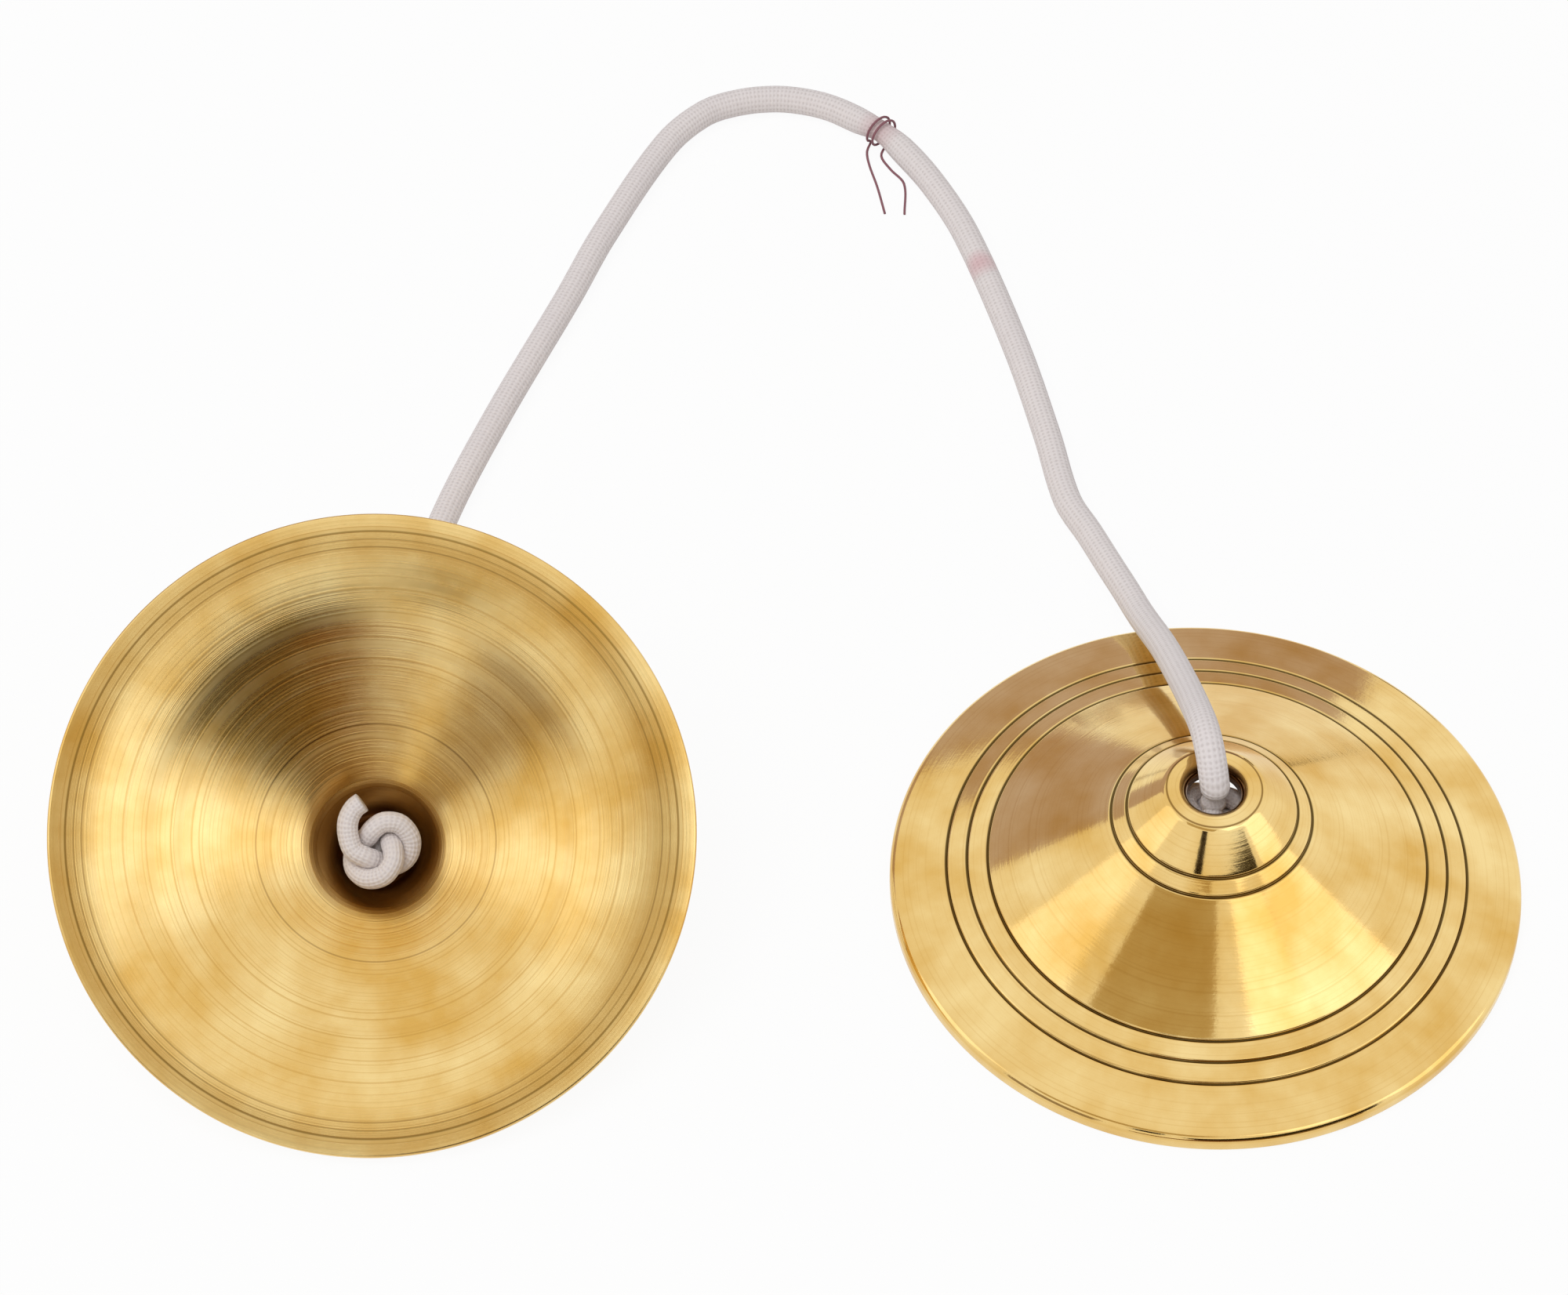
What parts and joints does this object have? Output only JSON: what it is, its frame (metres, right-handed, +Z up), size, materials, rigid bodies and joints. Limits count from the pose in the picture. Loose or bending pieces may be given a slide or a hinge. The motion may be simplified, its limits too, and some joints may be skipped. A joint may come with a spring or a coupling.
{
  "type": "pair of manjira cymbals",
  "caption": "Small pair of turned brass hand cymbals with raised bosses, joined by a soft white knotted cord.",
  "frame": {"origin": "on the table, at the middle of the box round the two cymbals", "axes": "+X from the cymbal that lies on its back to the one that lies rim down, +Y away from the viewer towards the bow of the cord, +Z up"},
  "size_m": [0.1473, 0.1427, 0.032],
  "materials": {
    "brass": "polished, with turning rings",
    "cotton_cord": "soft braid",
    "dark_thread": "twisted thread"
  },
  "bodies": {
    "cord_left_body": {"cord_left": "cotton_cord"},
    "cord_right_body": {"cord_right": "cotton_cord", "tag_thread": "dark_thread"},
    "left_knot_body": {"left_knot": "cotton_cord"},
    "right_knot_body": {"right_knot": "cotton_cord"},
    "left_cymbal_body": {"left_cymbal": "brass"},
    "right_cymbal_body": {"right_cymbal": "brass"}
  },
  "joints": [
    {"name": "cord_fold", "type": "hinge", "parent": "cord_left_body", "child": "cord_right_body", "pos_m": [-0.002, 0.1088, 0.00155], "axis": [0, 0, 1], "range_deg": [-8, 45]},
    {"name": "right_rock", "type": "hinge", "parent": "cord_right_body", "child": "right_knot_body", "pos_m": [0.04165, 0.00104, 0.0153], "axis": [-0.1701, 0.9854, 0], "range_deg": [-20, 20]},
    {"name": "right_spin", "type": "hinge", "parent": "right_knot_body", "child": "right_cymbal_body", "pos_m": [0.04165, 0.00104, 0.0153], "axis": [0, 0, 1], "continuous": true},
    {"name": "left_rock", "type": "hinge", "parent": "cord_left_body", "child": "left_knot_body", "pos_m": [-0.0421, 0.00279, 0.00329], "axis": [-0.0593, 0.9982, 0], "range_deg": [-20, 20]},
    {"name": "left_spin", "type": "hinge", "parent": "left_knot_body", "child": "left_cymbal_body", "pos_m": [-0.0421, 0.00279, 0.00329], "axis": [0.0285, -0.4793, 0.8772], "continuous": true}
  ]
}
